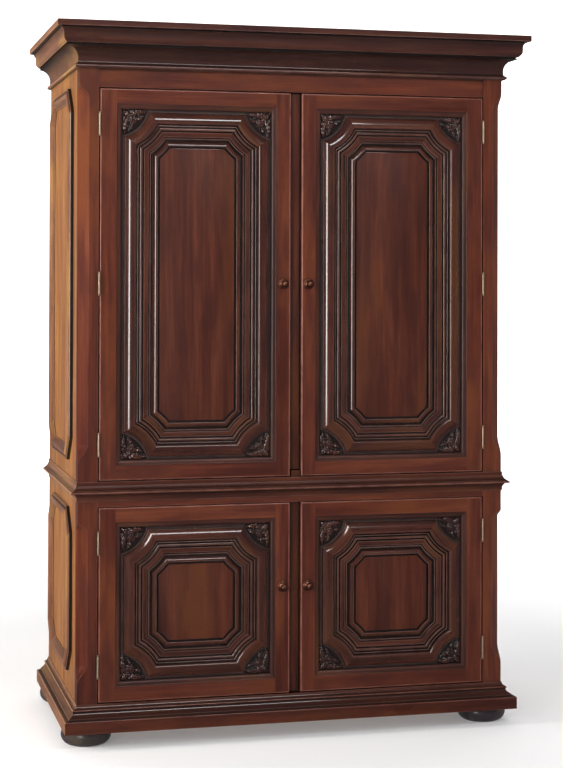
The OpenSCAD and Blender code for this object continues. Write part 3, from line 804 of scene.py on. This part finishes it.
def make_carvings(door):
    """The four corners' foliage as one closed relief, darkened in its hollows with glaze and
    painted shade.
    """
    ticks = np.arange(CARVE_LOW, CARVE_R, CARVE_STEP)
    gx, gy = np.meshgrid(ticks, ticks, indexing="ij")
    relief = carving_relief(gx, gy)
    keep = np.hypot(gx, gy) < CARVE_R
    mesh = bpy.data.meshes.new(door.name + "_foliage")
    bm = bmesh.new()
    layer = bm.verts.layers.float_vector.new("grain")
    hollow_mask = bm.verts.layers.float.new("glaze")
    for place in door.corners():
        shift = Vector([random.uniform(0, 9) for _ in range(3)])
        verts = {}
        for i, j in zip(*np.nonzero(keep)):
            u, v = place(gx[i, j], gy[i, j])
            point = Vector(door.at(u, v, GROUND + 0.02 + relief[i, j])) * MM
            vert = bm.verts.new(point)
            vert[layer] = Vector((point.z, point.x, point.y)) + shift
            # Glaze and painted shade, full on the ground and fading out as the relief rises
            vert[hollow_mask] = max(0.0, 1.0 - relief[i, j] / OPEN_FROM)
            verts[i, j] = vert
        top = []
        for i, j in verts:
            quad = [(i, j), (i + 1, j), (i + 1, j + 1), (i, j + 1)]
            if all(q in verts for q in quad):
                top.append(bm.faces.new([verts[q] for q in quad]))
        rim = [e for e in dict.fromkeys(e for f in top for e in f.edges)
               if len(e.link_faces) == 1]
        grown = bmesh.ops.extrude_edge_only(bm, edges=rim)["geom"]
        low = [g for g in grown if isinstance(g, bmesh.types.BMVert)]
        bmesh.ops.translate(bm, verts=low, vec=(0, CARVE_BACK * MM, 0))
        edge_loop = [g for g in grown if isinstance(g, bmesh.types.BMEdge)
                     and len(g.link_faces) == 1]
        bmesh.ops.holes_fill(bm, edges=edge_loop, sides=0)
    loose = [v for v in bm.verts if not v.link_faces]
    bmesh.ops.delete(bm, geom=loose, context="VERTS")
    bmesh.ops.recalc_face_normals(bm, faces=bm.faces)
    bm.to_mesh(mesh)
    bm.free()
    mesh.shade_smooth()
    mesh.set_sharp_from_angle(angle=math.radians(70))
    mesh.materials.append(MATS["carved"])
    obj = bpy.data.objects.new(mesh.name, mesh)
    bpy.context.scene.collection.objects.link(obj)
    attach(obj, door.body)
    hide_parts(door.name + "_carvings")


# ---- Knobs ----

KNOB_SIDES = 64


def make_knob(door):
    """A turned knob on a scalloped rose, with its axis out of the door."""
    lo, hi = span(door.name + "_knob")
    cx, cz = (lo[0] + hi[0]) / 2, (lo[2] + hi[2]) / 2
    rose = [(15.4, 0, 0.0), (16, 0.7, 0.08), (15.6, 1.7, 0.08), (13.6, 2.6, 0.07),
            (11.4, 2.4, 0.05), (10.4, 3.4, 0.03), (8.6, 4.4, 0), (6.8, 4.6, 0), (5.6, 6, 0),
            (4.6, 8.4, 0), (4.3, 10.8, 0), (5.2, 11.8, 0), (6.4, 12, 0), (6.6, 12.9, 0),
            (5.8, 13.4, 0)]
    ball = [(r, z, 0.0) for r, z in arc(1.8, 20.6, 9.2, -48, 66, 14)]
    cap = [(4.6, 29.2, 0), (3.2, 29.3, 0), (2.4, 29.9, 0), (0.8, 30, 0)]
    turned = Solids()
    rings = []
    for r, out, scallop in rose + ball + cap:
        ring = []
        for k in range(KNOB_SIDES):
            a = 2 * math.pi * k / KNOB_SIDES
            radius = r * (1 - scallop + scallop * abs(math.cos(4 * a)))
            ring.append((cx + radius * math.cos(a), door.face - out, cz + radius * math.sin(a)))
        rings.append(ring)
    turned.tube(rings, (0, -1, 0))
    turned.piece(door.name + "_turned_knob", door.body, MATS["bronze"],
                 [door.name + "_knob"], crease=48)


# ---------------------------------------------------------------------------
# Feet
# ---------------------------------------------------------------------------

FOOT_SIDES = 96
BLOCK_HALF = 38


def make_feet(node):
    """A pair of turned buns, each under a block that reaches up into the plinth."""
    lo, hi = span(node)
    r = (hi[1] - lo[1]) / 2
    top = span("base_moulding")[0][2]
    y = (lo[1] + hi[1]) / 2
    outline = ([(r - 26, 0), (r - 22, 0.8)] + arc(r - 28, 28, 28, -70, 24, 16)
               + [(r - 3.4, top - 9), (r - 4.4, top - 6), (r - 4.4, top)])
    buns = Solids()
    for x in (lo[0] + r, hi[0] - r):
        rings = [[(x + q * math.cos(2 * math.pi * k / FOOT_SIDES),
                   y + q * math.sin(2 * math.pi * k / FOOT_SIDES), z) for k in range(FOOT_SIDES)]
                 for q, z in outline]
        buns.tube(rings, (0, 0, 1))
        buns.box((x - BLOCK_HALF, y - BLOCK_HALF, top - 1),
                 (x + BLOCK_HALF, y + BLOCK_HALF, hi[2]), (0, 0, 1))
    buns.piece(node + "_turned", "case", MATS["foot_mesh"], [node])


# ---------------------------------------------------------------------------
# CAD pieces that keep their shape
# ---------------------------------------------------------------------------

SOFT_EDGE = 1.0
KEPT = {
    "case_x": ["lower_rail", "frieze_rail", "desk_board"],
    "case_z": ["upper_post_right", "lower_post_right", "upper_post_left", "lower_post_left"],
    "side": ["upper_side_left", "lower_side_left", "upper_side_right", "lower_side_right"],
    "strip": ["upper_astragal", "lower_astragal", "door_stop"],
    "inner_x": ["base_board", "top_board", "cornice_cap", "monitor_shelf", "upper_shelf",
                "lower_shelf"],
    "inner_z": ["upper_back", "lower_back"],
    "tray": ["keyboard_tray"],
    "steel": ["tray_runners", "tray_hangers"],
    "brass": ["case_hinge_leaves", "upper_left_hinge_leaves", "upper_right_hinge_leaves",
              "lower_left_hinge_leaves", "lower_right_hinge_leaves", "shelf_pins"],
}


def dress_kept():
    """Materials and softened edges for the nodes shown as the CAD made them."""
    for material, nodes in KEPT.items():
        for node in nodes:
            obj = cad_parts[node]
            for slot in obj.material_slots:
                slot.material = MATS[material]
            if material not in ("brass", "steel"):
                soften(obj, SOFT_EDGE)


# ---------------------------------------------------------------------------
# Studio
# ---------------------------------------------------------------------------

def area_light(name, place, target, size, watts, colour=(1, 1, 1), mirrored=True):
    """A soft box. One that isn't mirrored leaves no highlight in the lacquer."""
    data = bpy.data.lights.new(name, "AREA")
    data.shape = "RECTANGLE"
    data.size, data.size_y = size
    data.energy = watts
    data.color = colour
    light = bpy.data.objects.new(name, data)
    light.location = place
    aim = Vector(target) - Vector(place)
    light.rotation_euler = aim.to_track_quat("-Z", "Y").to_euler()
    light.visible_glossy = mirrored
    bpy.context.scene.collection.objects.link(light)


def matt_nodes(name, colour):
    """A matt material that also glows in its own colour."""
    n = Nodes(name)
    n.shader.inputs["Base Color"].default_value = (*colour, 1)
    n.shader.inputs["Roughness"].default_value = 0.9
    n.shader.inputs["Emission Color"].default_value = (*colour, 1)
    return n


def stage_plane(name, corners, material, lights=True):
    """Part of the studio. One that doesn't light the object is only seen by the camera."""
    mesh = bpy.data.meshes.new(name)
    mesh.from_pydata(corners, [], [(0, 1, 2, 3)])
    mesh.materials.append(material)
    obj = bpy.data.objects.new(name, mesh)
    bpy.context.scene.collection.objects.link(obj)
    obj.visible_glossy = False
    obj.visible_diffuse = obj.visible_shadow = lights


def floor_material():
    """Pale floor that lightens away from the middle, where it meets the backdrop."""
    n = matt_nodes("studio_floor", (0.85, 0.85, 0.86))
    p = n.add("ShaderNodeTexCoord").outputs["Object"]
    away = n.add("ShaderNodeVectorMath", {0: p}, operation="LENGTH").outputs["Value"]
    n.put(n.shader.inputs["Emission Strength"], n.fade(away, 1.6, 4.5, 0.2, 1.1))
    return n.mat


def backdrop_material():
    n = matt_nodes("backdrop_white", (1.0, 1.0, 1.0))
    n.shader.inputs["Emission Strength"].default_value = 1.0
    return n.mat


STAGE_HALF = 14
BACKDROP_Y = 9
WALL_TOP = 12


def make_studio():
    e = STAGE_HALF
    stage_plane("floor", [(-e, -e, 0), (e, -e, 0), (e, e, 0), (-e, e, 0)], floor_material())
    glow = backdrop_material()
    walls = (("backdrop", (-e, BACKDROP_Y), (e, BACKDROP_Y)),
             ("wall_left", (-e, -e), (-e, BACKDROP_Y)),
             ("wall_right", (e, BACKDROP_Y), (e, -e)),
             ("wall_front", (e, -e), (-e, -e)))
    for name, (ax, ay), (bx, by) in walls:
        corners = [(ax, ay, 0), (bx, by, 0), (bx, by, WALL_TOP), (ax, ay, WALL_TOP)]
        stage_plane(name, corners, glow, lights=name == "backdrop")
    area_light("side_key", (-5.0, -0.5, 2.0), (-0.6, 0, 1.0), (1.6, 2.4), 250, (1.0, 0.95, 0.88),
               mirrored=False)
    area_light("tall_strip", (-3.1, -3.9, 1.5), (-0.3, -0.3, 1.3), (0.8, 2.0), 104,
               (1.0, 0.96, 0.94))
    area_light("front_top", (0.6, -4.4, 3.9), (0, 0, 1.0), (1.9, 0.6), 64)
    area_light("overhead", (0, -0.4, 4.6), (0, 0, 0), (4.0, 3.0), 40, mirrored=False)
    area_light("right_fill", (4.6, -1.6, 1.3), (0.7, -0.3, 1.1), (1.2, 1.8), 80, mirrored=False)
    area_light("low_fill", (1.6, -5.0, 0.8), (0.2, 0, 0.7), (2.5, 1.2), 10, mirrored=False)
    world = bpy.data.worlds.new("studio")
    world.use_nodes = True
    world.node_tree.nodes["Background"].inputs["Color"].default_value = (0.9, 0.93, 1.0, 1)
    world.node_tree.nodes["Background"].inputs["Strength"].default_value = 0.10
    bpy.context.scene.world = world
    bpy.context.scene.view_settings.view_transform = "Standard"


# ---------------------------------------------------------------------------
# The whole scene
# ---------------------------------------------------------------------------

add_camera()
MATS = make_materials()
make_runs()
for storey in ("upper", "lower"):
    for hand, side in (("left", -1), ("right", 1)):
        make_side_frame(storey + "_side_frame_" + hand, side)
for door_name in ("upper_left", "upper_right", "lower_left", "lower_right"):
    door = Door(door_name)
    make_door_frame(door)
    make_panel(door)
    make_moulding(door)
    make_carvings(door)
    make_knob(door)
make_feet("front_feet")
make_feet("rear_feet")
dress_kept()
make_studio()
